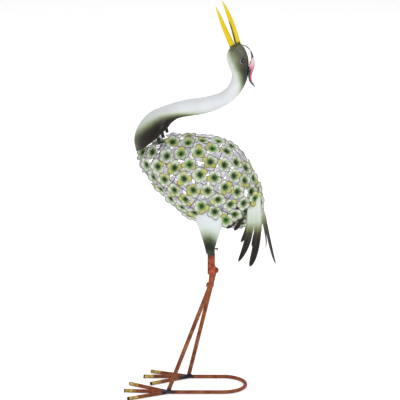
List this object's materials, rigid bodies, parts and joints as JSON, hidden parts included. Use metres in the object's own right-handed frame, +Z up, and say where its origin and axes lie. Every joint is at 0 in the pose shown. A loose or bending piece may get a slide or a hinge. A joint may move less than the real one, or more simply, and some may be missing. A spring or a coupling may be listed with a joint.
{
  "type": "heron garden statue",
  "caption": "Standing metal heron garden statue with open flower-work body, S-curved neck raised to an open beak, slit tail plumes and a bent-rod stand.",
  "frame": {"origin": "middle of the footprint's bounding box, on the ground", "axes": "+Z up, -X the way the bird faces (its body and feet), -Y its left side"},
  "size_m": [0.3314, 0.1838, 0.8602],
  "materials": {
    "red_bar": "satin",
    "red_sleeve": "satin",
    "screw": "satin",
    "thigh_paint": "satin",
    "petal_paint": "satin",
    "neck_paint": "satin",
    "eye": "gloss",
    "beak_paint": "satin",
    "crest_paint": "satin",
    "plume_paint": "satin"
  },
  "bodies": {
    "root": {"base_rod": "red_bar", "toe_left_inner": "red_bar", "toe_left_outer": "red_bar", "toe_right_inner": "red_bar", "toe_right_outer": "red_bar", "leg_lower_left": "red_bar", "leg_upper_left": "red_bar", "knee_left": "red_bar", "leg_lower_right": "red_bar", "leg_upper_right": "red_bar", "knee_right": "red_bar", "sleeve_left": "red_sleeve", "sleeve_right": "red_sleeve", "screw_left": "screw", "screw_right": "screw", "thigh_left": "thigh_paint", "thigh_right": "thigh_paint", "flower_shell": "petal_paint", "neck_head": "neck_paint", "eye_left": "eye", "eye_right": "eye", "beak_upper": "beak_paint", "beak_lower": "beak_paint", "crest": "crest_paint", "plume_flank_left": "plume_paint", "plume_belly_left": "plume_paint", "plume_flank_right": "plume_paint", "plume_belly_right": "plume_paint", "plume_back": "plume_paint"}
  },
  "joints": []
}
